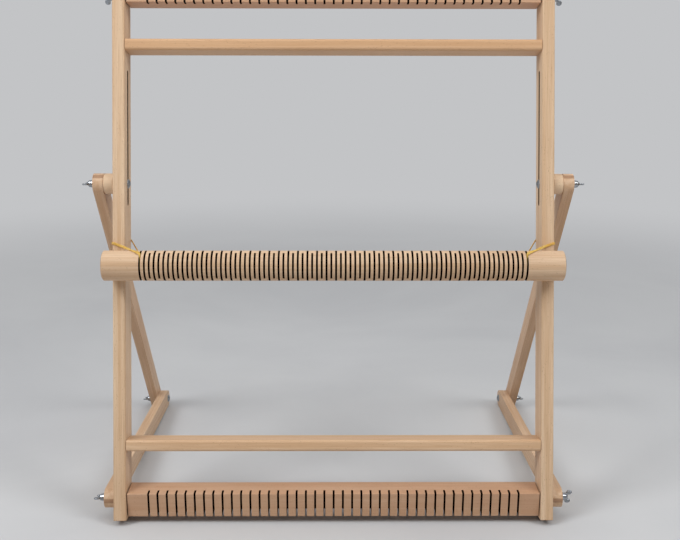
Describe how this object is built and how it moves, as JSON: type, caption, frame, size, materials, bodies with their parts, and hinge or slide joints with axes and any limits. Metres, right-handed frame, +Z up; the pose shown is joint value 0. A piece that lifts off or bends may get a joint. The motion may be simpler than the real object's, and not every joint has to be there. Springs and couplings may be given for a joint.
{
  "type": "tapestry loom",
  "caption": "Tabletop frame loom with kerfed top and bottom beams, a banded rotating heddle bar and a folding stand that sets its lean.",
  "frame": {"origin": "centre of the bounding box's base, on the surface the loom stands on", "axes": "+X to the weaver's right, -Y towards the weaver, +Z up"},
  "size_m": [0.682, 0.4592, 0.7321],
  "materials": {
    "beech": "oiled satin, straight fine grain with flecks",
    "beech_turned": "oiled satin, turned round bar",
    "beech_beam": "oiled satin, pinker straight grain",
    "zinc": "bright zinc plate",
    "rubber_band": "translucent natural rubber"
  },
  "bodies": {
    "left_foot": {"left_foot": "beech", "left_rear_bolt": "zinc", "left_rear_washer": "zinc"},
    "frame": {"left_upright": "beech", "right_upright": "beech", "upper_crossbar": "beech", "lower_crossbar": "beech", "upper_crossbar_dowels": "beech", "lower_crossbar_dowels": "beech", "frame_washers": "zinc"},
    "top_beam": {"top_beam": "beech_beam", "top_left_stud": "zinc", "top_right_stud": "zinc"},
    "bottom_beam": {"bottom_beam": "beech_beam", "bottom_left_stud": "zinc", "bottom_right_stud": "zinc"},
    "right_foot": {"right_foot": "beech", "right_rear_bolt": "zinc", "right_rear_washer": "zinc"},
    "left_strut": {"left_strut": "beech", "left_slot_bolt": "zinc", "left_spacer": "beech", "left_slot_washer": "zinc"},
    "right_strut": {"right_strut": "beech", "right_slot_bolt": "zinc", "right_spacer": "beech", "right_slot_washer": "zinc"},
    "heddle_bands": {"left_band": "rubber_band", "right_band": "rubber_band"},
    "heddle_bar": {"heddle_bar": "beech_turned"},
    "top_left_wing_nut": {"top_left_wing_nut": "zinc"},
    "top_right_wing_nut": {"top_right_wing_nut": "zinc"},
    "bottom_left_wing_nut": {"bottom_left_wing_nut": "zinc"},
    "bottom_right_wing_nut": {"bottom_right_wing_nut": "zinc"},
    "left_slot_wing_nut": {"left_slot_wing_nut": "zinc"},
    "right_slot_wing_nut": {"right_slot_wing_nut": "zinc"},
    "left_rear_wing_nut": {"left_rear_wing_nut": "zinc"},
    "right_rear_wing_nut": {"right_rear_wing_nut": "zinc"}
  },
  "joints": [
    {"name": "frame_tilt", "type": "hinge", "parent": "left_foot", "child": "frame", "pos_m": [0, -0.20408, 0.03118], "axis": [-1, 0, 0], "range_deg": [-1.5, 10]},
    {"name": "right_foot_pivot", "type": "hinge", "parent": "frame", "child": "right_foot", "pos_m": [0.305, -0.20408, 0.03118], "axis": [-1, 0, 0], "range_deg": [-10, 1.5]},
    {"name": "left_strut_pivot", "type": "hinge", "parent": "left_foot", "child": "left_strut", "pos_m": [-0.319, 0.21556, 0.014], "axis": [-1, 0, 0], "range_deg": [-1.94, 12.9]},
    {"name": "right_strut_pivot", "type": "hinge", "parent": "right_foot", "child": "right_strut", "pos_m": [0.319, 0.21556, 0.014], "axis": [-1, 0, 0], "range_deg": [-1.94, 12.9]},
    {"name": "top_beam_turn", "type": "hinge", "parent": "frame", "child": "top_beam", "pos_m": [0, -0.05561, 0.70092], "axis": [1, 0, 0], "continuous": true},
    {"name": "bottom_beam_turn", "type": "hinge", "parent": "frame", "child": "bottom_beam", "pos_m": [0, -0.20408, 0.03118], "axis": [1, 0, 0], "continuous": true},
    {"name": "heddle_slide", "type": "slide", "parent": "frame", "child": "heddle_bands", "axis": [0, 0.2164, 0.9763], "range_m": [-0.2, 0.05]},
    {"name": "heddle_turn", "type": "hinge", "parent": "heddle_bands", "child": "heddle_bar", "pos_m": [0, -0.1746, 0.35036], "axis": [1, 0, 0], "continuous": true},
    {"name": "top_left_wing_nut_turn", "type": "hinge", "parent": "top_beam", "child": "top_left_wing_nut", "pos_m": [-0.305, -0.05561, 0.70092], "axis": [-1, 0, 0], "continuous": true},
    {"name": "top_right_wing_nut_turn", "type": "hinge", "parent": "top_beam", "child": "top_right_wing_nut", "pos_m": [0.305, -0.05561, 0.70092], "axis": [1, 0, 0], "continuous": true},
    {"name": "bottom_left_wing_nut_turn", "type": "hinge", "parent": "bottom_beam", "child": "bottom_left_wing_nut", "pos_m": [-0.32, -0.20408, 0.03118], "axis": [-1, 0, 0], "continuous": true},
    {"name": "bottom_right_wing_nut_turn", "type": "hinge", "parent": "bottom_beam", "child": "bottom_right_wing_nut", "pos_m": [0.32, -0.20408, 0.03118], "axis": [1, 0, 0], "continuous": true},
    {"name": "left_slot_wing_nut_turn", "type": "hinge", "parent": "left_strut", "child": "left_slot_wing_nut", "pos_m": [-0.334, -0.11112, 0.4505], "axis": [-1, 0, 0], "continuous": true},
    {"name": "right_slot_wing_nut_turn", "type": "hinge", "parent": "right_strut", "child": "right_slot_wing_nut", "pos_m": [0.334, -0.11112, 0.4505], "axis": [1, 0, 0], "continuous": true},
    {"name": "left_rear_wing_nut_turn", "type": "hinge", "parent": "left_foot", "child": "left_rear_wing_nut", "pos_m": [-0.334, 0.21556, 0.014], "axis": [-1, 0, 0], "continuous": true},
    {"name": "right_rear_wing_nut_turn", "type": "hinge", "parent": "right_foot", "child": "right_rear_wing_nut", "pos_m": [0.334, 0.21556, 0.014], "axis": [1, 0, 0], "continuous": true}
  ],
  "couplings": [
    {"joint": "right_foot_pivot", "follows": "frame_tilt", "ratio": -1},
    {"joint": "left_strut_pivot", "follows": "frame_tilt", "ratio": 1.2885},
    {"joint": "right_strut_pivot", "follows": "frame_tilt", "ratio": 1.2885}
  ]
}
